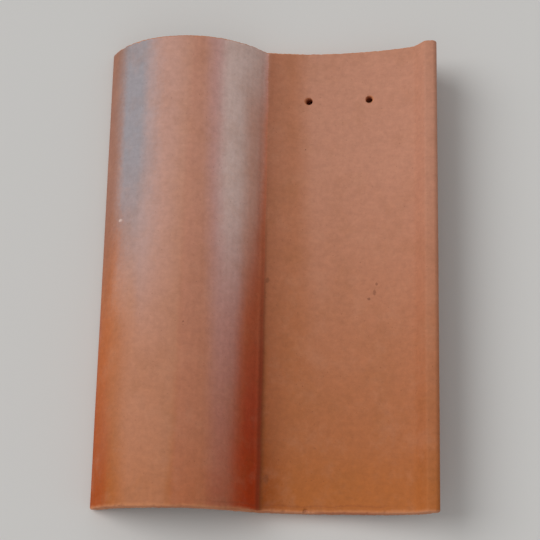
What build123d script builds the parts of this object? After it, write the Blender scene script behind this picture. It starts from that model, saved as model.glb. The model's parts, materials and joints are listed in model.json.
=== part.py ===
"""One-piece clay roof tile: a round roll on the left, a dished pan on the right, in millimetres.

The tile is one fired piece of constant section. It is modelled as it lies on a level floor, top
face up: the foot of the roll and the underside of the pan both touch the floor. +Y runs up the
slope from the tail to the head, +X runs across from the roll to the pan and +Z is up. The origin
is at the centre of the footprint, on the floor.
"""

from build123d import *
from math import asin, atan2, cos, degrees, hypot, radians, sin, sqrt, tan
import os

# Sizes along the slope
length = 337.0
end_round = 1.6  # rounding of the arris round both cut ends

# Roll: the arched part, from the foot that laps the next tile to the pan
roll_width = 116.0
roll_rise = 36.0
wall = 12.5  # at the crown of the roll and in the pan
flank_wall = 9.0  # at the foot, where the wall thins so that tiles nest

# Pan: the shallow dish that carries the water
cover_width = 210.0  # from one tile's roll to the next
pan_dish = 8.0
side_gap = 1.0  # the next tile's foot stands this far above the pan
foot_room = 4.0  # sideways play between that foot and the lip

# Lip: the upturned right edge, which goes under the next tile's roll
lip_height = 10.0
lip_wall = 10.0
lip_slope = 50.0

# Corners of the section
valley_round = 7.0  # top face, where the roll runs into the pan
foot_round = 3.0
foot_inner_round = 2.0
lip_root_round = 10.0
lip_top_round = 3.5

# Nail holes, pierced square to the roof through the pan near the head
nail_hole_radius = 2.5
nail_hole_spacing = 44.0
nail_from_head = 38.0

# Roll circles: the inner one sits lower, which thins the wall towards the foot
roll_mid = roll_width / 2
roll_radius = (roll_mid**2 + roll_rise**2) / (2 * roll_rise)
roll_centre = (roll_mid, roll_rise - roll_radius)
flank_cosine = -roll_centre[1] / roll_radius
inner_drop = (wall - flank_wall) / (1 - flank_cosine)
inner_radius = roll_radius + inner_drop - wall
inner_centre = (roll_mid, roll_centre[1] - inner_drop)
foot_width = roll_mid - sqrt(inner_radius**2 - inner_centre[1] ** 2)

# Pan circles: top face and underside share one centre, high above the dish
pan_end = cover_width + foot_width + foot_room
pan_mid = (roll_width + pan_end) / 2
pan_half = (pan_end - roll_width) / 2
pan_radius = (pan_half**2 + pan_dish**2) / (2 * pan_dish)
pan_centre = (pan_mid, pan_radius - pan_dish - side_gap)
underside_radius = pan_radius + wall


def crossing(centre_a, radius_a, centre_b, radius_b):
    """The lower of the two points where circle A and circle B cross."""
    across, up = centre_b[0] - centre_a[0], centre_b[1] - centre_a[1]
    gap = hypot(across, up)
    along = (gap**2 + radius_a**2 - radius_b**2) / (2 * gap)
    aside = sqrt(radius_a**2 - along**2)
    foot = (centre_a[0] + along * across / gap, centre_a[1] + along * up / gap)
    first = (foot[0] + aside * up / gap, foot[1] - aside * across / gap)
    second = (foot[0] - aside * up / gap, foot[1] + aside * across / gap)
    return min(first, second, key=lambda point: point[1])


def line_to_circle(start, slope, centre, radius):
    """Where the line that runs down from start at this slope, in degrees, first leaves the circle."""
    run, fall = -cos(radians(slope)), -sin(radians(slope))
    across, up = start[0] - centre[0], start[1] - centre[1]
    half = across * run + up * fall
    reach = -half + sqrt(half**2 - (across**2 + up**2 - radius**2))
    return (start[0] + reach * run, start[1] + reach * fall)


# Corners of the section, before they are rounded
foot_outer = (0.0, 0.0)
foot_inner = (foot_width, 0.0)
valley_under = crossing(inner_centre, inner_radius, pan_centre, underside_radius)
valley_top = crossing(roll_centre, roll_radius, pan_centre, pan_radius)
lip_root = (pan_end, -side_gap)
lip_inner = (pan_end + lip_height / tan(radians(lip_slope)), lip_height - side_gap)
lip_outer = (lip_inner[0] + lip_wall / sin(radians(lip_slope)), lip_inner[1])
lip_under = line_to_circle(lip_outer, lip_slope, pan_centre, underside_radius)

# The section, drawn as the tile lies on a roof: x across it, y square to it
with BuildSketch() as section:
    with BuildLine():
        Line(foot_outer, foot_inner)
        ThreePointArc(foot_inner, (roll_mid, inner_centre[1] + inner_radius), valley_under)
        ThreePointArc(valley_under, (pan_mid, pan_centre[1] - underside_radius), lip_under)
        Line(lip_under, lip_outer)
        Line(lip_outer, lip_inner)
        Line(lip_inner, lip_root)
        ThreePointArc(lip_root, (pan_mid, pan_centre[1] - pan_radius), valley_top)
        ThreePointArc(valley_top, (roll_mid, roll_rise), foot_outer)
    make_face()

    corner_rounds = (
        (valley_under, valley_round + wall),
        (valley_top, valley_round),
        (lip_under, lip_root_round + lip_wall),
        (lip_root, lip_root_round),
        (lip_outer, lip_top_round),
        (lip_inner, lip_top_round),
        (foot_outer, foot_round),
        (foot_inner, foot_inner_round),
    )
    for corner, corner_radius in corner_rounds:
        fillet(section.vertices().sort_by_distance(corner)[0], radius=corner_radius)

# The tile leans until a straight floor touches both the rounded foot and the pan's underside
foot_reach = roll_radius - foot_round
foot_centre = (roll_mid - sqrt(foot_reach**2 - (foot_round - roll_centre[1]) ** 2), foot_round)
reach_across = pan_centre[0] - foot_centre[0]
reach_up = pan_centre[1] - foot_centre[1]
span = hypot(reach_across, reach_up)
rest_lean = asin((underside_radius - foot_round) / span) - atan2(reach_up, reach_across)

# Placed so that the footprint's centre is the origin and the floor is Z = 0
leaning = section.sketch.rotate(Axis.Z, degrees(rest_lean)).bounding_box()
across_tile = Vector(cos(rest_lean), 0, sin(rest_lean))
square_to_roof = Vector(-sin(rest_lean), 0, cos(rest_lean))
corner_on_floor = Vector(-leaning.center().X, 0, -leaning.min.Y)
head_plane = Plane(
    origin=corner_on_floor + Vector(0, length / 2, 0), x_dir=across_tile, z_dir=(0, -1, 0)
)
nail_plane = Plane(
    origin=corner_on_floor + across_tile * pan_mid + Vector(0, length / 2 - nail_from_head, 0),
    x_dir=across_tile,
    z_dir=square_to_roof,
)

with BuildPart() as roof_tile:
    with BuildSketch(head_plane):
        add(section.sketch)
    extrude(amount=length)

    # Both cut ends have a softened arris, where the wet clay was wiped
    fillet(roof_tile.faces().filter_by(Axis.Y).edges(), radius=end_round)

    # Two nail holes, through the whole wall
    with Locations(nail_plane):
        with GridLocations(nail_hole_spacing, 0, 2, 1):
            Hole(nail_hole_radius)

roof_tile.part.label = "roof_tile"

os.makedirs("parts", exist_ok=True)
export_step(roof_tile.part, "parts/roof_tile.step")

print("rest lean", round(degrees(rest_lean), 3), "degrees; foot width", round(foot_width, 2))
print("bounding box", roof_tile.part.bounding_box())
print("volume", round(roof_tile.part.volume), "mm3; centre of mass", roof_tile.part.center(CenterOf.MASS))
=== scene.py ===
"""Looks of one kiln-flashed clay roof tile: a round roll, a dished pan and an upturned lip.

Lengths are in metres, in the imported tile's own frame: +Y runs from the tail to the head, +X from
the roll to the pan, and +Z up from the floor that the tile lies on. Places on the tile are given
as a roofer would measure them: across from the roll's free edge, and up the slope from the tail.
Nicks, colour bands, marks and patterns are in millimetres.
"""

import json
import logging
import math
import random
from collections import defaultdict
from collections.abc import Iterable, Sequence
from dataclasses import dataclass
from enum import Enum
from functools import reduce

import bmesh
import bpy
from mathutils import Matrix, Vector, noise


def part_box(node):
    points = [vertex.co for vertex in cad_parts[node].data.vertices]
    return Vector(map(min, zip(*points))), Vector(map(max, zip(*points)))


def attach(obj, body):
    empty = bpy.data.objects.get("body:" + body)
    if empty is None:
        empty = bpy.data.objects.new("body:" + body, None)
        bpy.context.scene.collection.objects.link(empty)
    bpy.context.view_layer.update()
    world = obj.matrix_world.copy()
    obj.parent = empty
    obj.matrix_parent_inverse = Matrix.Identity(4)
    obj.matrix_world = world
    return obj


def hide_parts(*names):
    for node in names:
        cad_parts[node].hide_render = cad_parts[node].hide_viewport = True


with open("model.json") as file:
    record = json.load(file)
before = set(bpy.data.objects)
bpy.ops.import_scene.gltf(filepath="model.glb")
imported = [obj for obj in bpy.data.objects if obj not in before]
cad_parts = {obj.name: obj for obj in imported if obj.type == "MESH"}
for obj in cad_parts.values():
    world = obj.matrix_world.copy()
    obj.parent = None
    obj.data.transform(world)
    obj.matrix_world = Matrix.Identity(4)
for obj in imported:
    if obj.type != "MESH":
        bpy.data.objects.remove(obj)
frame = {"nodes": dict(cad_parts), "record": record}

log = logging.getLogger("roof_tile_scene")

MILLIMETRE = 0.001
MEAN = 0.5  # The middle value of every soft random pattern
NODE = "roof_tile"
BODY = "root"

Colour = tuple[float, float, float, float]
Triple = tuple[float, float, float]
Range = tuple[float, float]
Body = bmesh.types.BMesh
Edge = bmesh.types.BMEdge
Material = bpy.types.Material
NodeTree = bpy.types.NodeTree
Object = bpy.types.Object
Socket = bpy.types.NodeSocket
Sockets = bpy.types.bpy_prop_collection
Value = Socket | float | Colour
Inputs = dict[str | int, Value]


def linear(level: int) -> float:
    """The linear value of one channel of a screen colour, which runs from 0 to 255."""
    share = level / 255
    return share / 12.92 if share <= 0.04045 else ((share + 0.055) / 1.055) ** 2.4


def srgb(red: int, green: int, blue: int) -> Colour:
    """Turns a screen colour, 0 to 255 a channel, into the linear one that a shader takes."""
    return (linear(red), linear(green), linear(blue), 1.0)


def in_scene(made: Object) -> Object:
    """Puts a new object in the scene."""
    bpy.context.scene.collection.objects.link(made)
    return made


def as_object(name: str, body: Body, finishes: Iterable[Material]) -> Object:
    """Turns a finished bmesh into an object.

    Args:
        name: The object's name.
        body: The bmesh, which is freed.
        finishes: Its materials, in the order of its faces' material numbers.

    Returns:
        The object, in the scene.
    """
    mesh = bpy.data.meshes.new(name)
    body.to_mesh(mesh)
    body.free()
    for finish in finishes:
        mesh.materials.append(finish)
    return in_scene(bpy.data.objects.new(name, mesh))


@dataclass(frozen=True)
class RoofAxes:
    """The tile's own directions, which lean with it as it rests on the floor.

    The origin is the roll's free edge at the tail, level with the foot.
    """

    origin: Vector
    across: Vector
    along: Vector
    outward: Vector

    @classmethod
    def from_frame(cls) -> "RoofAxes":
        """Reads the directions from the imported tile.

        Returns:
            The axes.
        """
        mounts = {mount["name"]: mount for mount in frame["record"]["mounts"]}
        foot = mounts["roll_foot"]
        outward = -Vector(foot["axis"]).normalized()
        along = Vector((0.0, 1.0, 0.0))
        across = along.cross(outward)
        corners = [vertex.co for vertex in frame["nodes"][NODE].data.vertices]
        left = min(across.dot(corner) for corner in corners)
        tail = min(along.dot(corner) for corner in corners)
        level = outward.dot(Vector(foot["pos_m"]))
        return cls(across * left + along * tail + outward * level, across, along, outward)

    def to_world(self) -> Matrix:
        """The matrix that takes a place on the tile to the scene."""
        turn = Matrix((self.across, self.along, self.outward)).transposed()
        return Matrix.Translation(self.origin) @ turn.to_4x4()


class Surface(Enum):
    """The sorts of surface that one tile has, each with a finish of its own."""

    FACE = 0
    CUT = 1
    UNDERSIDE = 2


class End(Enum):
    """The two cut ends of a tile."""

    TAIL = 0
    HEAD = 1


@dataclass(frozen=True)
class Swell:
    """One layer of soft unevenness: how fine it is along three axes, and how much it counts."""

    fineness: Triple
    share: float
    start: float = 0.0

    def at(self, x: float, y: float, z: float) -> float:
        """The layer's part of the depth at a place."""
        fine_x, fine_y, fine_z = self.fineness
        return self.share * noise.noise(Vector((x * fine_x, y * fine_y, z * fine_z + self.start)))


def layered(layers: Iterable[Swell], spot: Iterable[float]) -> float:
    """Adds up layers of unevenness at a spot, around their mean."""
    return sum((layer.at(*spot) for layer in layers), MEAN)


@dataclass(frozen=True)
class Nick:
    """A small chip out of the top arris of a cut end, in millimetres."""

    across: float
    half_width: float
    depth: float
    lengthening: float = 1.4

    def bite(self, spot: Vector, from_end: float) -> float:
        """How deep the chip is at a place.

        Args:
            spot: The place, measured on the tile's own axes.
            from_end: Its distance from the cut end.

        Returns:
            The depth, in metres.
        """
        wide = (spot.x / MILLIMETRE - self.across) / self.half_width
        long = from_end / MILLIMETRE / (self.lengthening * self.half_width)
        return self.depth * MILLIMETRE * max(0.0, 1.0 - wide * wide - long * long)


@dataclass
class TileBody:
    """The fired tile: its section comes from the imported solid, and its relief is added here.

    The facing limits are how squarely a face or a corner has to look a way to count as doing so.
    """

    axes: RoofAxes
    merge: float = 0.001 * MILLIMETRE
    straight: float = math.radians(0.05)
    profile_step: float = 0.9 * MILLIMETRE
    stations: int = 104
    end_crowding: float = 0.6
    arris: float = 1.6 * MILLIMETRE
    arris_segments: int = 4
    rung_step: float = 1.4 * MILLIMETRE
    rung_snap: float = 0.3 * MILLIMETRE
    rung_facing: float = 0.99
    hole_lip: float = 1.4 * MILLIMETRE
    hole_lip_turn: float = math.radians(52.0)
    hole_lip_steps: int = 4
    hole_sides: int = 32
    wave_height: float = 0.5 * MILLIMETRE
    waves: tuple[Swell, ...] = (
        Swell((14.0, 9.0, 14.0), 0.35),
        Swell((45.0, 24.0, 45.0), 0.15, 7.0),
    )
    drag_height: float = 0.08 * MILLIMETRE
    drag_lines: tuple[Swell, ...] = (Swell((260.0, 6.0, 260.0), 0.5, 3.0),)
    cut_unevenness: float = 0.9 * MILLIMETRE
    cut_reach: float = 5.0 * MILLIMETRE
    cut_waves: tuple[Swell, ...] = (
        Swell((30.0, 30.0, 1.0), 0.35),
        Swell((210.0, 120.0, 1.0), 0.3, 1.0),
        Swell((620.0, 300.0, 1.0), 0.3, 2.0),
    )
    head_shift: float = 5.0
    nicks: tuple[Nick, ...] = (
        Nick(30.0, 1.8, 0.5),
        Nick(47.0, 1.4, 0.35),
        Nick(71.0, 2.0, 0.4),
        Nick(96.0, 1.5, 0.35),
        Nick(134.0, 1.8, 0.5),
        Nick(148.8, 2.4, 1.5),
        Nick(176.0, 1.5, 0.4),
        Nick(203.0, 1.7, 0.5),
    )
    nick_facing: float = 0.15
    stray_nicks: int = 26
    stray_seed: int = 11
    stray_across: Range = (4.0, 240.0)
    stray_half_width: Range = (0.9, 1.8)
    stray_depth: Range = (0.15, 0.45)
    cut_facing: float = 0.5
    top_facing: float = 0.1
    sharp_angle: float = math.radians(38.0)

    def __post_init__(self) -> None:
        """Reads the tile's length and its nail holes from the frame."""
        low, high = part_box(NODE)
        self.tail_y, self.head_y = low[1], high[1]
        self.middle_y = (self.tail_y + self.head_y) / 2
        self.half_length = (self.head_y - self.tail_y) / 2
        self.holes = [m for m in frame["record"]["mounts"] if m["kind"] == "bore"]

    def section_loop(self) -> Body:
        """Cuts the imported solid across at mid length.

        Returns:
            A bmesh that holds the section's outline and nothing else.
        """
        outline = bmesh.new()
        outline.from_mesh(frame["nodes"][NODE].data)
        bmesh.ops.remove_doubles(outline, verts=outline.verts[:], dist=self.merge)
        bmesh.ops.dissolve_limit(
            outline, angle_limit=self.straight, verts=outline.verts[:], edges=outline.edges[:]
        )
        bmesh.ops.bisect_plane(
            outline,
            geom=outline.verts[:] + outline.edges[:] + outline.faces[:],
            plane_co=(0.0, self.middle_y, 0.0),
            plane_no=(0.0, 1.0, 0.0),
            clear_inner=True,
            clear_outer=True,
        )
        return outline

    @staticmethod
    def edges_of(faces: Iterable[bmesh.types.BMFace]) -> list[Edge]:
        """The edges of some faces, each once, and in the same order on every run."""
        return list(dict.fromkeys(edge for face in faces for edge in face.edges))

    @staticmethod
    def run(edge: Edge) -> float:
        """How far an edge runs along the tile."""
        return abs(edge.verts[0].co.y - edge.verts[1].co.y)

    @staticmethod
    def shorten(body: Body, edges: Iterable[Edge], step: float, smooth: float) -> None:
        """Cuts edges into short equal runs.

        Args:
            body: The body that the edges belong to.
            edges: The edges to cut.
            step: The longest run that is left, in metres.
            smooth: How far the new points follow the curve that the edges lie on, 0 to 1.
        """
        by_cuts: defaultdict[int, list[Edge]] = defaultdict(list)
        for edge in edges:
            by_cuts[math.ceil(edge.calc_length() / step) - 1].append(edge)
        for cuts, alike in by_cuts.items():
            if cuts:
                bmesh.ops.subdivide_edges(body, edges=alike, cuts=cuts, smooth=smooth)

    def drawn_out(self) -> Body:
        """Draws the section out to the tile's length.

        Returns:
            The body, open at both ends.
        """
        body = self.section_loop()
        to_tail = self.tail_y - body.verts[:][0].co.y
        bmesh.ops.translate(body, verts=body.verts[:], vec=(0.0, to_tail, 0.0))
        drawn = bmesh.ops.extrude_edge_only(body, edges=body.edges[:])
        far_end = [item for item in drawn["geom"] if isinstance(item, bmesh.types.BMVert)]
        bmesh.ops.translate(body, verts=far_end, vec=(0.0, 2 * self.half_length, 0.0))
        bmesh.ops.recalc_face_normals(body, faces=body.faces[:])
        body.normal_update()

        # The outline's long chords are cut into short ones that follow its curves
        chords = [edge for edge in body.edges if self.run(edge) < self.merge]
        self.shorten(body, chords, self.profile_step, 1.0)
        return body

    def close_ends(self, body: Body) -> None:
        """Closes both ends and rounds their rims.

        Args:
            body: The open body.
        """
        open_rim = [edge for edge in body.edges if edge.is_boundary]
        bmesh.ops.holes_fill(body, edges=open_rim, sides=0)
        bmesh.ops.recalc_face_normals(body, faces=body.faces[:])
        ends = [face for face in body.faces if len(face.verts) > 4]
        bmesh.ops.bevel(
            body,
            geom=self.edges_of(ends),
            offset=self.arris,
            offset_type="OFFSET",
            segments=self.arris_segments,
            profile=0.5,
            affect="EDGES",
            clamp_overlap=True,
            material=-1,
        )
        body.normal_update()

    def face_the_cuts(self, body: Body) -> None:
        """Cuts both flat ends into small faces, so that they can be uneven.

        Args:
            body: The closed body, whose ends are one large face each.
        """
        right = max(vertex.co.x for vertex in body.verts)
        place = min(vertex.co.x for vertex in body.verts)
        while (place := place + self.rung_step) < right:
            flat = [face for face in body.faces if abs(face.normal.y) > self.rung_facing]
            bmesh.ops.bisect_plane(
                body,
                geom=self.edges_of(flat) + flat,
                dist=self.rung_snap,
                plane_co=(place, 0.0, 0.0),
                plane_no=(1.0, 0.0, 0.0),
            )
        rungs = [
            edge
            for edge in body.edges
            if all(abs(face.normal.y) > self.rung_facing for face in edge.link_faces)
        ]
        self.shorten(body, rungs, self.rung_step, 0.0)
        bmesh.ops.triangulate(body, faces=[face for face in body.faces if len(face.verts) > 4])

    def add_stations(self, body: Body) -> None:
        """Cuts the long faces across at stations, which stand closer together towards the ends.

        Args:
            body: The closed body.
        """
        lengthwise = [edge for edge in body.edges if self.run(edge) > self.half_length]
        bmesh.ops.subdivide_edges(body, edges=lengthwise, cuts=self.stations, use_grid_fill=True)
        shaft = self.half_length - self.arris
        for vertex in body.verts:
            reach = vertex.co.y - self.middle_y
            if abs(reach) < shaft:
                turn = math.pi * (reach / shaft + 1)
                vertex.co.y -= self.end_crowding * shaft / math.pi * math.sin(turn)

    def sort_surfaces(self, body: Body) -> None:
        """Tells each face which finish it takes.

        Args:
            body: The body, whose faces are sorted.
        """
        for face in body.faces:
            surface = Surface.UNDERSIDE
            if abs(face.normal.y) > self.cut_facing:
                surface = Surface.CUT
            elif face.normal.dot(self.axes.outward) > self.top_facing:
                surface = Surface.FACE
            face.material_index = surface.value
            face.smooth = True

    def relief(self, spot: Vector) -> float:
        """How far the fired surface lies inside the drawn one, at a place on the tile's axes."""
        wave = self.wave_height * layered(self.waves, spot)
        return wave + self.drag_height * layered(self.drag_lines, spot)

    def cut_wander(self, spot: Vector, end: End) -> float:
        """How far the wire's cut lies inside a drawn end, at a place on the tile's axes."""
        across_cut = (spot.x, spot.z, self.head_shift * end.value)
        return self.cut_unevenness * max(0.0, layered(self.cut_waves, across_cut))

    def all_nicks(self, end: End) -> list[Nick]:
        """The nicks of one end: the ones that show at the tail, and stray small ones.

        Args:
            end: Which end's nicks are meant.

        Returns:
            The nicks.
        """
        chance = random.Random(self.stray_seed + end.value)
        ranges = (self.stray_across, self.stray_half_width, self.stray_depth)
        strays = [
            Nick(*(chance.uniform(*limits) for limits in ranges)) for _ in range(self.stray_nicks)
        ]
        return strays if end is End.HEAD else strays + list(self.nicks)

    def weather(self, body: Body) -> None:
        """Gives the body its unevenness, all of it inwards.

        Args:
            body: The body, whose vertices are moved.
        """
        to_tile = self.axes.to_world().inverted()
        along, outward = self.axes.along, self.axes.outward
        nicks = {end: self.all_nicks(end) for end in End}
        body.normal_update()
        moves = []
        for vertex in body.verts:
            spot = to_tile @ vertex.co
            move = -self.relief(spot) * vertex.normal
            end, inwards, from_end = End.TAIL, along, vertex.co.y - self.tail_y
            if vertex.co.y > 0:
                end, inwards, from_end = End.HEAD, -along, self.head_y - vertex.co.y
            if from_end < self.cut_reach:
                fade = 1.0 - from_end / self.cut_reach
                move.y = 0.0
                move += inwards * fade * self.cut_wander(spot, end)
                if vertex.normal.dot(outward) > self.nick_facing:
                    bite = max(nick.bite(spot, from_end) for nick in nicks[end])
                    move += bite * (inwards - outward)
            moves.append((vertex, move))
        for vertex, move in moves:
            vertex.co += move

    def punch_profile(self, radius: float, depth: float) -> list[Range]:
        """Half the outline of a nail punch: a shank, a rounded shoulder and a flared top.

        Args:
            radius: The hole's radius.
            depth: The depth of the wall at the hole.

        Returns:
            Each corner's distance from the axis, and its place along it from mid wall.
        """
        corners = [(0.0, -depth), (radius, -depth)]
        for step in range(self.hole_lip_steps + 1):
            angle = self.hole_lip_turn * step / self.hole_lip_steps
            wider = self.hole_lip * (1 - math.cos(angle))
            below = self.hole_lip * (1 - math.sin(angle))
            corners.append((radius + wider, depth / 2 - below))
        reach, up = corners[-1]
        top = up + self.hole_lip
        flare = self.hole_lip * math.tan(self.hole_lip_turn)
        return corners + [(reach + flare, top), (0.0, top)]

    def nail_punches(self, finish: Material) -> Object:
        """One punch for each nail hole, whose shoulder softens the hole's lip.

        Args:
            finish: The material that the holes' walls take.

        Returns:
            The cutting object.
        """
        punches = bmesh.new()
        for hole in self.holes:
            axis = Vector(hole["axis"]).normalized()
            turn = axis.to_track_quat("Z", "Y").to_matrix().to_4x4()
            place = Matrix.Translation(Vector(hole["pos_m"])) @ turn
            radius, depth = (hole["dims"][size] * MILLIMETRE for size in ("r_mm", "length_mm"))
            profile = [
                punches.verts.new(place @ Vector((reach, 0.0, up)))
                for reach, up in self.punch_profile(radius, depth)
            ]
            sides = [punches.edges.new(pair) for pair in zip(profile, profile[1:])]
            bmesh.ops.spin(
                punches,
                geom=profile + sides,
                cent=place.translation,
                axis=axis,
                angle=math.tau,
                steps=self.hole_sides,
                use_merge=True,
            )
        bmesh.ops.remove_doubles(punches, verts=punches.verts[:], dist=self.merge)
        bmesh.ops.recalc_face_normals(punches, faces=punches.faces[:])
        for face in punches.faces:
            face.smooth = True
        return as_object("nail_punches", punches, [finish])

    def pierce(self, tile: Object, finish: Material) -> None:
        """Punches the nail holes through the tile's mesh.

        Args:
            tile: The tile, whose mesh is replaced by the pierced one.
            finish: The material that the holes' walls take.
        """
        punches = self.nail_punches(finish)
        cut = tile.modifiers.new("nail_holes", "BOOLEAN")
        cut.operation = "DIFFERENCE"
        cut.solver = "EXACT"
        cut.material_mode = "TRANSFER"
        cut.object = punches
        graph = bpy.context.evaluated_depsgraph_get()
        pierced = bpy.data.meshes.new_from_object(tile.evaluated_get(graph))
        tile.modifiers.remove(cut)
        drawn = tile.data
        tile.data = pierced
        bpy.data.meshes.remove(drawn)
        pierced.name = tile.name
        bpy.data.objects.remove(punches)

    def build(self, finishes: dict[Surface, Material]) -> Object:
        """Makes the tile.

        Args:
            finishes: The material for each sort of surface.

        Returns:
            The finished piece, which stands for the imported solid.
        """
        body = self.drawn_out()
        self.close_ends(body)
        self.face_the_cuts(body)
        self.add_stations(body)
        self.sort_surfaces(body)
        self.weather(body)
        tile = as_object("fired_tile", body, (finishes[surface] for surface in Surface))
        self.pierce(tile, finishes[Surface.CUT])
        tile.data.set_sharp_from_angle(angle=self.sharp_angle)
        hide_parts(NODE)
        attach(tile, BODY)
        return tile


@dataclass(frozen=True)
class Pattern:
    """A soft random pattern.

    Its coordinates are turned first, so that its own lattice doesn't show on the surface, and
    then made finer or coarser along each axis.
    """

    scale: float
    detail: float
    roughness: float
    turn: Triple | None = None
    fineness: Triple | None = None


class NodeSheet:
    """Adds nodes to one tree and wires them up."""

    FALLING = (1.0, 0.0)
    STEP_INPUTS = ("Value", "From Min", "From Max", "To Min", "To Max")
    NOISE_INPUTS = ("Vector", "Scale", "Detail", "Roughness")
    MIX_INPUTS = ("Factor", 6, 7)
    MIX_OUTPUT = 2

    def __init__(self, tree: NodeTree) -> None:
        """Keeps the tree that the nodes go into."""
        self.tree = tree

    def feed(self, socket: Socket, value: Value) -> None:
        """Links a socket to another one, or sets its plain value.

        Args:
            socket: The socket that takes the value.
            value: Another socket, or a plain value.
        """
        if isinstance(value, Socket):
            self.tree.links.new(value, socket)
        else:
            socket.default_value = value

    def add(self, kind: str, given: Inputs | None = None, **settings: object) -> bpy.types.Node:
        """Adds a node.

        Args:
            kind: The node's type name.
            given: What its inputs take, by their names or places.
            **settings: The node's own settings.

        Returns:
            The new node.
        """
        node = self.tree.nodes.new(kind)
        for name, setting in settings.items():
            setattr(node, name, setting)
        for name, value in (given or {}).items():
            self.feed(node.inputs[name], value)
        return node

    def result(self, kind: str, output: str | int, given: Inputs, **settings: object) -> Socket:
        """Adds a node of which only one output is used."""
        return self.add(kind, given, **settings).outputs[output]

    def maths(self, operation: str, *values: Value) -> Socket:
        """Adds one sum, of values in the node's order."""
        return self.result("ShaderNodeMath", 0, dict(enumerate(values)), operation=operation)

    def product(self, *values: Value) -> Socket:
        """Multiplies values together."""
        return reduce(lambda so_far, value: self.maths("MULTIPLY", so_far, value), values)

    def ramp(self, value: Value, step: tuple[Value, Value], ends: Range = (0.0, 1.0)) -> Socket:
        """Steps smoothly from one end to the other, while the value runs through the step."""
        given = dict(zip(self.STEP_INPUTS, (value, *step, *ends)))
        return self.result("ShaderNodeMapRange", "Result", given, interpolation_type="SMOOTHSTEP")

    def blend(self, factor: Value, base: Value, over: Value) -> Socket:
        """Lays one colour over another, of which a factor of 0 shows nothing and 1 all."""
        given = dict(zip(self.MIX_INPUTS, (factor, base, over)))
        return self.result(
            "ShaderNodeMix", self.MIX_OUTPUT, given, data_type="RGBA", clamp_factor=True
        )

    def mapped(self, vector: Value, **settings: Sequence[float]) -> Socket:
        """Changes coordinates by a Location, a Rotation or a Scale."""
        return self.result("ShaderNodeMapping", "Vector", {"Vector": vector, **settings})

    def scaled(self, vector: Value, factor: Value) -> Socket:
        """Scales coordinates by one factor."""
        given = {"Vector": vector, "Scale": factor}
        return self.result("ShaderNodeVectorMath", "Vector", given, operation="SCALE")

    def pattern(self, point: Value, look: Pattern) -> Socket:
        """Adds a soft random pattern.

        Args:
            point: The coordinates that it is laid on.
            look: Its settings.

        Returns:
            Its value's socket.
        """
        if look.turn:
            point = self.mapped(point, Rotation=look.turn)
        if look.fineness:
            point = self.mapped(point, Scale=look.fineness)
        values = (point, look.scale, look.detail, look.roughness)
        return self.result("ShaderNodeTexNoise", "Fac", dict(zip(self.NOISE_INPUTS, values)))


class GroupSheet(NodeSheet):
    """A node group that the finishes share, while it is being wired."""

    def __init__(self, name: str, *inputs: str) -> None:
        """Starts the group.

        Args:
            name: The group's name.
            *inputs: What goes in: numbers, apart from Point, which is a place on the tile.
        """
        super().__init__(bpy.data.node_groups.new(name, "ShaderNodeTree"))
        for title in inputs:
            self.open_socket(title, "INPUT")
        self.given = self.add("NodeGroupInput").outputs

    def open_socket(self, title: str, way: str) -> None:
        """Gives the group one more input or output."""
        kind = "NodeSocketVector" if title == "Point" else "NodeSocketFloat"
        self.tree.interface.new_socket(title, in_out=way, socket_type=kind)

    def give(self, **results: Socket) -> NodeTree:
        """Ends the group.

        Args:
            **results: What comes out, by name.

        Returns:
            The group's tree.
        """
        for title in results:
            self.open_socket(title, "OUTPUT")
        self.add("NodeGroupOutput", results)
        return self.tree


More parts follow.
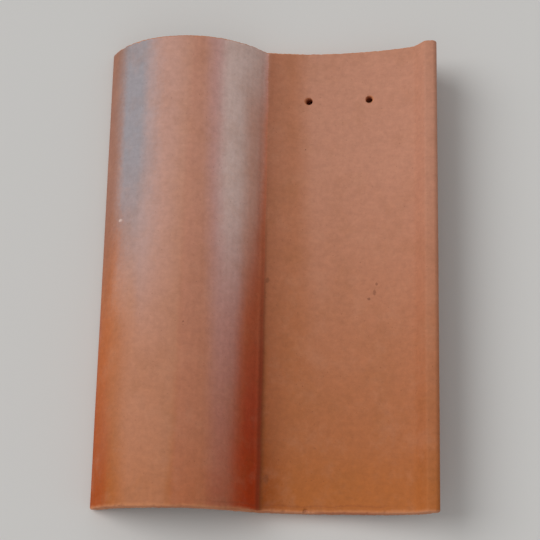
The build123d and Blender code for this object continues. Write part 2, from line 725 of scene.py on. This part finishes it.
@dataclass
class SharedGroups:
    """The node groups that the finishes share. All their lengths are in millimetres."""

    axes: RoofAxes
    mottle: tuple[Pattern, ...] = (
        Pattern(0.24, 6.0, 0.7, turn=(0.55, 0.8, 0.35)),
        Pattern(1.0, 3.0, 0.6, fineness=(0.12, 0.3, 0.12)),
        Pattern(1.0, 3.0, 0.6, turn=(0.0, 0.0, 0.14), fineness=(0.075, 0.42, 0.075)),
    )
    mottle_shares: tuple[float, ...] = (0.72, 0.14, 0.14)
    ripple_height: float = 0.5
    scum: Pattern = Pattern(0.055, 6.0, 0.66, turn=(0.55, 0.8, 0.35))
    smoke: Pattern = Pattern(0.04, 6.0, 0.62, turn=(0.9, 0.3, 0.6))
    film_edge: Range = (0.46, 0.72)
    slow_wander: Pattern = Pattern(1.0, 4.0, 0.6, fineness=(0.05, 0.016, 0.05))
    fine_wander: Pattern = Pattern(0.5, 3.0, 0.6)
    fine_wander_share: float = 0.5
    lengthwise_wander: float = 2.0
    side_edge: Range = (-0.5, 0.5)
    mark_outline: Pattern = Pattern(0.9, 2.0, 0.5)
    mark_unevenness: float = 1.2
    mark_edge: Range = (0.6, 1.2)
    smallest_pit: float = 0.5

    def __post_init__(self) -> None:
        """Builds each group once."""
        self.plan = self.plan_group()
        self.grain = self.grain_group()
        self.band = self.band_group()
        self.spot = self.spot_group()
        self.pits = self.pit_group()

    def plan_group(self) -> NodeTree:
        """Where a point lies on the tile: across from the roll's edge, and up from the tail.

        Returns:
            The group's tree.
        """
        sheet = GroupSheet("tile_plan")
        place = sheet.add("ShaderNodeTexCoord").outputs["Object"]
        to_tile = self.axes.to_world().inverted()
        metres = sheet.mapped(place, Rotation=to_tile.to_euler(), Location=to_tile.translation)
        point = sheet.mapped(metres, Scale=[1 / MILLIMETRE] * 3)
        across, along, _ = sheet.add("ShaderNodeSeparateXYZ", {0: point}).outputs
        return sheet.give(Across=across, Along=along, Point=point)

    def grain_group(self) -> NodeTree:
        """The mottling of fired clay, the scum and smoke that bloom on it, and its height.

        Returns:
            The group's tree.
        """
        sheet = GroupSheet("clay_grain", "Point", "Fineness", "Contrast")
        point = sheet.scaled(sheet.given["Point"], sheet.given["Fineness"])
        layers = [sheet.pattern(point, look) for look in self.mottle]
        mottle = 0.0
        for layer, share in zip(layers, self.mottle_shares):
            mottle = sheet.maths("MULTIPLY_ADD", layer, share, mottle)
        return sheet.give(
            Tone=sheet.product(sheet.maths("SUBTRACT", mottle, MEAN), sheet.given["Contrast"]),
            Scum=sheet.ramp(sheet.pattern(point, self.scum), self.film_edge),
            Smoke=sheet.ramp(sheet.pattern(point, self.smoke), self.film_edge),
            Height=sheet.maths("MULTIPLY_ADD", layers[-1], self.ripple_height, mottle),
        )

    def band_group(self) -> NodeTree:
        """A band along the tile: where it lies across the tile, and where it fades.

        Returns:
            The group's tree.
        """
        # Draws both kiln flash bands and bands of painted sheen, reflection, highlight and shade.
        sheet = GroupSheet(
            "flash_and_painted_light_band", "Point", "Across", "Along", "Left", "Left Softness", "Left Drift",
            "Right", "Right Softness", "Right Drift", "In From", "In By", "Out From", "Out By",
            "Ragged", "Strength",
        )
        given = sheet.given
        slow = sheet.pattern(given["Point"], self.slow_wander)
        fine = sheet.pattern(given["Point"], self.fine_wander)
        wander = sheet.maths("MULTIPLY_ADD", fine, self.fine_wander_share, slow)
        middle = MEAN + MEAN * self.fine_wander_share
        shift = sheet.product(sheet.maths("SUBTRACT", wander, middle), given["Ragged"])
        across = sheet.maths("ADD", given["Across"], shift)
        along = sheet.maths("MULTIPLY_ADD", shift, self.lengthwise_wander, given["Along"])
        sides = {}
        for side in ("Left", "Right"):
            limit = sheet.maths("MULTIPLY_ADD", given["Along"], given[side + " Drift"], given[side])
            inside = sheet.maths("SUBTRACT", across, limit)
            sides[side] = sheet.maths("DIVIDE", inside, given[side + " Softness"])
        mask = sheet.product(
            sheet.ramp(sides["Left"], self.side_edge),
            sheet.ramp(sides["Right"], self.side_edge, sheet.FALLING),
            sheet.ramp(along, (given["In From"], given["In By"])),
            sheet.ramp(along, (given["Out From"], given["Out By"]), sheet.FALLING),
            given["Strength"],
        )
        return sheet.give(Mask=mask)

    def spot_group(self) -> NodeTree:
        """A small rounded mark with an uneven outline.

        Returns:
            The group's tree.
        """
        sheet = GroupSheet(
            "small_mark", "Point", "Across", "Along", "Centre Across", "Centre Along",
            "Half Width", "Half Length", "Strength",
        )
        given = sheet.given
        squares = []
        for way, half in (("Across", "Half Width"), ("Along", "Half Length")):
            offset = sheet.maths("SUBTRACT", given[way], given["Centre " + way])
            offset = sheet.maths("DIVIDE", offset, given[half])
            squares.append(sheet.product(offset, offset))
        away = sheet.maths("SQRT", sheet.maths("ADD", *squares))
        uneven = sheet.maths("SUBTRACT", sheet.pattern(given["Point"], self.mark_outline), MEAN)
        away = sheet.maths("MULTIPLY_ADD", uneven, self.mark_unevenness, away)
        inside = sheet.ramp(away, self.mark_edge, sheet.FALLING)
        return sheet.give(Mask=sheet.product(inside, given["Strength"]))

    def pit_group(self) -> NodeTree:
        """Sparse small pits, each where a grain fell out of the clay.

        Returns:
            The group's tree.
        """
        sheet = GroupSheet("clay_pits", "Point", "Spacing", "Radius", "Share")
        given = sheet.given
        point = sheet.scaled(given["Point"], sheet.maths("DIVIDE", 1.0, given["Spacing"]))
        cells = sheet.add("ShaderNodeTexVoronoi", {"Vector": point, "Scale": 1.0}, feature="F1")
        chance, size, _ = sheet.add("ShaderNodeSeparateColor", {0: cells.outputs["Color"]}).outputs
        chosen = sheet.maths("LESS_THAN", chance, given["Share"])
        radius = sheet.maths("DIVIDE", given["Radius"], given["Spacing"])
        radius = sheet.product(radius, sheet.maths("ADD", size, self.smallest_pit))
        away = sheet.maths("DIVIDE", cells.outputs["Distance"], radius)
        hollow = sheet.ramp(away, self.mark_edge, sheet.FALLING)
        return sheet.give(Mask=sheet.product(chosen, hollow))


class ClaySheet(NodeSheet):
    """One clay material, which knows where each of its points lies on the tile."""

    def __init__(self, name: str, groups: SharedGroups) -> None:
        """Starts the material and places the tile's own coordinates in it.

        Args:
            name: The material's name.
            groups: The shared node groups.
        """
        self.material = bpy.data.materials.new(name)
        self.material.use_nodes = True
        super().__init__(self.material.node_tree)
        self.groups = groups
        plan = self.add("ShaderNodeGroup", node_tree=groups.plan)
        self.place = dict(plan.outputs.items())
        self.point = self.place["Point"]

    def group(self, tree: NodeTree, given: Inputs, label: str = "") -> Sockets:
        """Places a group, and tells it where on the tile it is.

        Args:
            tree: The group's tree.
            given: What its other inputs take, by name.
            label: What its node is called.

        Returns:
            The outputs of the group's node.
        """
        node = self.add("ShaderNodeGroup", node_tree=tree, label=label)
        values = self.place | given
        for socket in node.inputs:
            self.feed(socket, values[socket.name])
        return node.outputs

    def toned(self, colour: Value, tone: Value) -> Socket:
        """Makes a colour lighter by a share of itself, or darker where the share is below 0."""
        given = {"Color": colour, "Value": self.maths("ADD", 1.0, tone)}
        return self.result("ShaderNodeHueSaturation", "Color", given)

    def laid(self, mark: "Band | Spot", colour: Value) -> Socket:
        """Lays a mark over a colour."""
        return self.blend(mark.mask(self), colour, mark.tint)


PIT_BROWN = srgb(96, 52, 30)


@dataclass(frozen=True)
class Pores:
    """One size of small pit, in millimetres."""

    spacing: float
    radius: float
    share: float
    strength: float
    depth: float

    def open(self, sheet: ClaySheet, colour: Value, height: Value) -> tuple[Socket, Socket]:
        """Pits a surface.

        Args:
            sheet: The material that the pits are in.
            colour: The surface's colour.
            height: The surface's height.

        Returns:
            The pitted surface's colour and height.
        """
        given = {"Spacing": self.spacing, "Radius": self.radius, "Share": self.share}
        mask = sheet.group(sheet.groups.pits, given)["Mask"]
        colour = sheet.blend(sheet.product(mask, self.strength), colour, PIT_BROWN)
        return colour, sheet.maths("MULTIPLY_ADD", mask, -self.depth, height)


@dataclass(frozen=True)
class Texture:
    """What every clay surface has besides its colours: grain, pores and a dull gloss."""

    fineness: float
    contrast: float
    relief: float
    pores: tuple[Pores, ...]
    roughness: float
    shine: float = 0.3

    def grain(self, sheet: ClaySheet) -> tuple[Sockets, Socket]:
        """Places the grain: all that comes out of it, and its height in millimetres."""
        grain = sheet.group(
            sheet.groups.grain, {"Fineness": self.fineness, "Contrast": self.contrast}
        )
        return grain, sheet.product(grain["Height"], self.relief)

    def finish(self, sheet: ClaySheet, colour: Value, height: Value) -> Material:
        """Pits a surface and hands it to its shader.

        Args:
            sheet: The material.
            colour: The surface's colour.
            height: The surface's height, in millimetres.

        Returns:
            The finished material.
        """
        for pores in self.pores:
            colour, height = pores.open(sheet, colour, height)
        bump = sheet.add("ShaderNodeBump", {"Distance": MILLIMETRE, "Height": height})
        shader = sheet.tree.nodes["Principled BSDF"]
        sheet.feed(shader.inputs["Base Color"], colour)
        sheet.feed(shader.inputs["Normal"], bump.outputs["Normal"])
        shader.inputs["Roughness"].default_value = self.roughness
        shader.inputs["Specular IOR Level"].default_value = self.shine
        return sheet.material


@dataclass(frozen=True)
class Side:
    """One side of a band: its place at the tail, how soft it is, and its drift up the slope."""

    place: float
    softness: float = 1.0
    drift: float = 0.0


FAR = 900.0
OPEN_LEFT = Side(-FAR)
OPEN_RIGHT = Side(FAR)
ALWAYS = (-FAR, 1.0 - FAR)
NEVER = (FAR, FAR + 1.0)


@dataclass(frozen=True)
class Band:
    """A lengthwise band of another colour, in millimetres on the tile."""

    name: str
    tint: Colour
    left: Side
    right: Side
    fades_in: Range = ALWAYS
    fades_out: Range = NEVER
    strength: float = 1.0
    ragged: float = 5.0

    def mask(self, sheet: ClaySheet) -> Socket:
        """Where the band shows.

        Args:
            sheet: The material that the band is laid on.

        Returns:
            The mask's socket.
        """
        given = {"Ragged": self.ragged, "Strength": self.strength}
        for way, side in (("Left", self.left), ("Right", self.right)):
            given |= {way: side.place, way + " Softness": side.softness, way + " Drift": side.drift}
        for way, (start, end) in (("In", self.fades_in), ("Out", self.fades_out)):
            given |= {way + " From": start, way + " By": end}
        return sheet.group(sheet.groups.band, given, self.name)["Mask"]


@dataclass(frozen=True)
class Spot:
    """A small rounded mark, in millimetres on the tile."""

    name: str
    tint: Colour
    across: float
    along: float
    half_width: float
    half_length: float
    strength: float = 0.8

    def mask(self, sheet: ClaySheet) -> Socket:
        """Where the spot shows on a material."""
        given = {
            "Centre Across": self.across,
            "Centre Along": self.along,
            "Half Width": self.half_width,
            "Half Length": self.half_length,
            "Strength": self.strength,
        }
        return sheet.group(sheet.groups.spot, given, self.name)["Mask"]


CREASE = 117.3
# Pale pink that paints sheen onto the face, growing up the slope from the tail.
PAINTED_SHEEN_PINK = srgb(192, 150, 132)
FACE_PORES = (
    Pores(16.0, 0.5, 0.3, strength=0.5, depth=0.25),
    Pores(2.8, 0.26, 0.4, strength=0.3, depth=0.1),
)
BARE_PORES = (
    Pores(7.0, 0.45, 0.4, strength=0.5, depth=0.3),
    Pores(2.2, 0.24, 0.5, strength=0.4, depth=0.12),
)


@dataclass(frozen=True)
class FlashedFace:
    """The weather face: orange clay that the kiln turned red, pink, lilac and grey in bands, with
    painted sheen, painted sky reflections, painted highlights and painted shade laid over it in some
    bands.
    """

    clay: Colour = srgb(175, 97, 40)
    bands: tuple[Band, ...] = (
        Band("crown", srgb(186, 118, 80), Side(26.6, 16.0, -0.02), Side(62.5, 12.0, 0.03)),
        Band("shoulder", srgb(184, 108, 71), Side(64.0, 6.0, 0.01), Side(106.0, 14.0, 0.03)),
        Band("below_shoulder", srgb(171, 87, 68), Side(88.0, 12.0), Side(107.0, 10.0), strength=0.55),
        Band("orange_edge", srgb(169, 73, 2), OPEN_LEFT, Side(16.0, 12.0, -0.03), ragged=9.0),
        Band("red_flank", srgb(180, 59, 3), Side(102.7, 12.0, 0.014), Side(CREASE, 1.0), ragged=3.0),
        Band("brown_valley", srgb(150, 69, 2), Side(CREASE, 1.0), Side(129.0, 26.0), ragged=1.0),
        # Painted sheen: pale pink over the whole face, stronger towards the head, so that roll and
        # pan are painted lighter up the slope.
        Band("pink_painted_sheen", srgb(215, 163, 145), OPEN_LEFT, OPEN_RIGHT, (0.0, 285.0), strength=0.5),
        Band("roll_painted_sheen", PAINTED_SHEEN_PINK, Side(8.0, 10.0), Side(98.0, 14.0), (5.0, 55.0), strength=0.12),
        Band("pan_painted_sheen", PAINTED_SHEEN_PINK, Side(122.0, 12.0), OPEN_RIGHT, (5.0, 55.0), strength=0.09),
        Band(
            "ochre_edge", srgb(192, 101, 22), Side(3.6, 6.0, -0.02), Side(16.0, 18.0, 0.012),
            (0.0, 150.0), (175.0, 231.0), 0.62, 10.0,
        ),
        # Painted highlight: a pale warm glow on the roll's left flank.
        Band(
            "painted_warm_highlight", srgb(225, 160, 125), Side(13.0, 10.0), Side(31.0, 12.0),
            (118.0, 150.0), (160.0, 188.0), 0.22,
        ),
        # Partly grey-blue kiln flash, partly a painted reflection of the sky high on the roll's left
        # flank.
        Band(
            "grey_flash_and_reflection", srgb(148, 155, 165), Side(16.8, 16.0, -0.02), Side(45.0, 16.0, -0.01),
            (108.0, 262.0), strength=0.8, ragged=12.0,
        ),
        # Partly grey flash, partly a painted streak of sky reflection beside the crown.
        Band(
            "grey_streak_and_reflection", srgb(200, 160, 150), Side(33.0, 9.0), Side(52.0, 22.0, 0.03),
            (70.0, 227.0), strength=0.5, ragged=8.0,
        ),
        # Partly lilac flash, partly a painted streak of sky reflection on the roll's right flank.
        Band(
            "lilac_streak_and_reflection", srgb(203, 158, 153), Side(89.0, 12.0, -0.03), Side(98.5, 10.0, 0.037),
            (0.0, 225.0), strength=0.73,
        ),
        # Painted sky reflection: a pale streak high on the roll's right flank.
        Band(
            "painted_pale_reflection", srgb(224, 199, 190), Side(93.0, 12.0, -0.013), Side(106.0, 8.0, 0.031),
            (120.0, 240.0), strength=0.85,
        ),
        # Painted shade: the roll's free edge darker and duller, as if a neighbouring pan shaded its
        # foot.
        Band(
            "painted_edge_shade", srgb(148, 106, 89), OPEN_LEFT, Side(6.7, 12.0, 0.022), (89.0, 220.0),
            strength=0.7,
        ),
        # Painted shade and a painted reflection of the roll's dark flank, on the pan beside the
        # crease.
        Band(
            "valley_shade", srgb(171, 98, 51), Side(CREASE, 1.0), Side(151.5, 18.0, -0.03),
            (10.0, 115.0), strength=0.48, ragged=4.0,
        ),
        Band(
            "orange_tail", srgb(192, 116, 58), Side(140.0, 40.0), OPEN_RIGHT, ALWAYS, (0.0, 60.0),
            strength=0.28,
        ),
        Band(
            "wiped_line", srgb(138, 66, 36), Side(84.0, 30.0), Side(206.0, 30.0),
            (4.2, 5.0), (5.2, 6.2), 0.26, 2.4,
        ),
        # Partly wear that bares the paler clay along the tail's arris, partly a painted highlight
        # along it.
        Band(
            "worn_and_lit_arris", srgb(214, 142, 97), OPEN_LEFT, OPEN_RIGHT, ALWAYS, (0.7, 3.6),
            strength=0.68, ragged=1.6,
        ),
    )
    spots: tuple[Spot, ...] = (
        Spot("pale_fleck", srgb(226, 200, 190), 17.0, 202.0, 1.8, 1.1),
        Spot("pan_speck_middle", PIT_BROWN, 195.0, 154.0, 1.2, 2.2, 0.4),
        Spot("pan_speck_upper", PIT_BROWN, 196.5, 160.0, 0.9, 1.4, 0.45),
        Spot("pan_speck_lower", PIT_BROWN, 191.0, 149.5, 1.2, 1.0, 0.55),
        Spot("valley_speck_upper", PIT_BROWN, 119.5, 163.0, 1.4, 2.0, 0.4),
        Spot("valley_speck_lower", PIT_BROWN, 121.5, 23.0, 2.0, 3.6, 0.35),
    )
    films: tuple[tuple[str, Colour, float], ...] = (
        ("Scum", srgb(204, 148, 118), 0.15),
        ("Smoke", srgb(146, 90, 38), 0.15),
    )
    # Colour on the roll's right flank, and painted shade in the crease between roll and pan.
    crease_colours_and_shade: tuple[Band, ...] = (
        Band(
            "rusty_flank", srgb(190, 98, 12), Side(104.0, 9.0), Side(CREASE, 1.0),
            (55.0, 150.0), (280.0, 320.0), 0.34, 3.0,
        ),
        # Painted shade: dark red and brown lines along the crease.
        Band(
            "red_crease_shade", srgb(116, 40, 0), Side(114.9, 2.6), Side(118.4, 2.0), ALWAYS,
            (90.0, 270.0), 0.75, 1.0,
        ),
        Band(
            "brown_crease_shade", srgb(118, 62, 20), Side(118.0, 1.6), Side(119.8, 2.6), ALWAYS,
            (40.0, 200.0), 0.45, 1.2,
        ),
    )
    texture: Texture = Texture(1.0, 0.62, 0.45, FACE_PORES, roughness=0.72)

    def material(self, groups: SharedGroups) -> Material:
        """Builds the material.

        Args:
            groups: The shared node groups.

        Returns:
            The finished material.
        """
        sheet = ClaySheet("flashed_face", groups)
        grain, height = self.texture.grain(sheet)
        colour = self.clay
        for mark in self.bands + self.spots:
            colour = sheet.laid(mark, colour)
        for film, tint, strength in self.films:
            colour = sheet.blend(sheet.product(grain[film], strength), colour, tint)
        for crease_band in self.crease_colours_and_shade:
            colour = sheet.laid(crease_band, colour)
        return self.texture.finish(sheet, sheet.toned(colour, grain["Tone"]), height)


@dataclass(frozen=True)
class BareClay:
    """Clay that shows its own colour: the cut ends, the nail holes' walls or the underside.

    Its drag marks were left by the wire or by the die.
    """

    name: str
    clay: Colour
    shade: Colour
    texture: Texture
    drag: Pattern
    drag_contrast: float = 0.3
    drag_relief: float = 0.2
    patches: Pattern = Pattern(0.03, 3.0, 0.6)
    patch_edge: Range = (0.4, 0.65)

    def material(self, groups: SharedGroups) -> Material:
        """Builds the material.

        Args:
            groups: The shared node groups.

        Returns:
            The finished material.
        """
        sheet = ClaySheet(self.name, groups)
        grain, height = self.texture.grain(sheet)
        patches = sheet.ramp(sheet.pattern(sheet.point, self.patches), self.patch_edge)
        colour = sheet.blend(patches, self.clay, self.shade)
        drag = sheet.pattern(sheet.point, self.drag)
        streaks = sheet.product(sheet.maths("SUBTRACT", drag, MEAN), self.drag_contrast)
        colour = sheet.toned(colour, sheet.maths("ADD", grain["Tone"], streaks))
        height = sheet.maths("MULTIPLY_ADD", drag, self.drag_relief, height)
        return self.texture.finish(sheet, colour, height)


CUT_CLAY = BareClay(
    "cut_clay",
    clay=srgb(204, 136, 98),
    shade=srgb(188, 116, 80),
    texture=Texture(0.8, 0.6, 0.4, BARE_PORES, roughness=0.85),
    drag=Pattern(1.0, 4.0, 0.6, fineness=(0.9, 0.1, 0.08)),
)
BARE_UNDERSIDE = BareClay(
    "bare_underside",
    clay=srgb(182, 116, 81),
    shade=srgb(174, 110, 79),
    texture=Texture(0.5, 0.5, 0.3, BARE_PORES, roughness=0.85),
    drag=Pattern(1.0, 4.0, 0.6, fineness=(0.5, 0.02, 0.5)),
)


@dataclass(frozen=True)
class PhotoCamera:
    """The camera, which looks down on the tile from beyond its tail.

    Its place and its aim are measured on the tile's own axes.
    """

    axes: RoofAxes
    place: Vector = Vector((0.274, -0.080, 0.954))
    aim: Vector = Vector((0.1235, 0.1665, 0.012))
    roll: float = math.radians(1.3)
    lens: float = 94.0
    sensor: float = 36.0

    def build(self) -> Object:
        """Makes the camera and hands the scene to it.

        Returns:
            The camera.
        """
        data = bpy.data.cameras.new("photo_camera")
        data.lens = self.lens
        data.sensor_width = self.sensor
        camera = in_scene(bpy.data.objects.new("photo_camera", data))
        to_world = self.axes.to_world()
        stand = to_world @ self.place
        view = (to_world @ self.aim - stand).normalized()
        level_right = view.cross(self.axes.along).normalized()
        level_up = level_right.cross(view)
        right = level_right * math.cos(self.roll) + level_up * math.sin(self.roll)
        up = level_up * math.cos(self.roll) - level_right * math.sin(self.roll)
        turn = Matrix((right, up, -view)).transposed().to_4x4()
        camera.matrix_world = Matrix.Translation(stand) @ turn
        bpy.context.scene.camera = camera
        return camera


@dataclass(frozen=True)
class Daylight:
    """Soft studio light: a broad, distant lamp on the roll's side, and pale light all round."""

    ambient: float = 0.42
    lamp_strength: float = 1.42
    lamp_breadth: float = math.radians(41.0)
    lamp_elevation: float = math.radians(45.0)
    lamp_towards_head: float = math.radians(20.0)
    ambient_colour: Colour = (1.0, 1.0, 1.0, 1.0)
    backdrop_colour: Colour = (0.54, 0.535, 0.525, 1.0)

    def build(self) -> Object:
        """Lights the scene.

        Returns:
            The lamp.
        """
        self.light_room()
        data = bpy.data.lights.new("broad_lamp", "SUN")
        data.energy = self.lamp_strength
        data.angle = self.lamp_breadth
        lamp = in_scene(bpy.data.objects.new("broad_lamp", data))
        level = math.cos(self.lamp_elevation)
        lamp.location = (
            -level * math.cos(self.lamp_towards_head),
            level * math.sin(self.lamp_towards_head),
            math.sin(self.lamp_elevation),
        )
        lamp.rotation_euler = lamp.location.to_track_quat("Z", "Y").to_euler()
        return lamp

    def light_room(self) -> None:
        """Makes the pale light all round, and the plain backdrop that is seen and mirrored."""
        world = bpy.data.worlds.new("pale_room")
        bpy.context.scene.world = world
        world.use_nodes = True
        sheet = NodeSheet(world.node_tree)
        path = sheet.add("ShaderNodeLightPath").outputs
        seen = path["Is Camera Ray"]
        for ray in ("Is Glossy Ray", "Is Transmission Ray"):
            seen = sheet.maths("MAXIMUM", seen, path[ray])
        background = world.node_tree.nodes["Background"].inputs
        shown = sheet.blend(seen, self.ambient_colour, self.backdrop_colour)
        sheet.feed(background["Color"], shown)
        strength = sheet.maths("MULTIPLY_ADD", seen, 1.0 - self.ambient, self.ambient)
        sheet.feed(background["Strength"], strength)


@dataclass(frozen=True)
class PlainFinish:
    """One even colour, for what isn't part of the tile."""

    name: str
    colour: Colour
    roughness: float

    def material(self) -> Material:
        """Builds the material.

        Returns:
            The finished material.
        """
        material = bpy.data.materials.new(self.name)
        material.use_nodes = True
        shader = material.node_tree.nodes["Principled BSDF"]
        shader.inputs["Base Color"].default_value = self.colour
        shader.inputs["Roughness"].default_value = self.roughness
        return material


@dataclass(frozen=True)
class Floor:
    """The plain pale floor that the tile lies on."""

    radius: float = 30.0
    sides: int = 96
    finish: PlainFinish = PlainFinish("pale_floor", (0.72, 0.71, 0.69, 1.0), 0.9)

    def build(self) -> Object:
        """Makes the floor.

        Returns:
            The floor's object.
        """
        disc = bmesh.new()
        bmesh.ops.create_circle(disc, cap_ends=True, radius=self.radius, segments=self.sides)
        floor = as_object("floor", disc, [self.finish.material()])
        return floor


def main() -> None:
    """Builds the tile and its surroundings, and reports each piece."""
    logging.basicConfig(level=logging.INFO, format="%(name)s: %(message)s")
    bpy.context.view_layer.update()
    axes = RoofAxes.from_frame()

    groups = SharedGroups(axes)
    finishes = {
        Surface.FACE: FlashedFace().material(groups),
        Surface.CUT: CUT_CLAY.material(groups),
        Surface.UNDERSIDE: BARE_UNDERSIDE.material(groups),
    }
    tile = TileBody(axes).build(finishes)
    log.info("%s: %d faces", tile.name, len(tile.data.polygons))

    for piece in (Floor().build(), Daylight().build(), PhotoCamera(axes).build()):
        log.info("%s", piece.name)
    bpy.context.scene.view_settings.view_transform = "Standard"


if __name__ == "__main__":
    main()
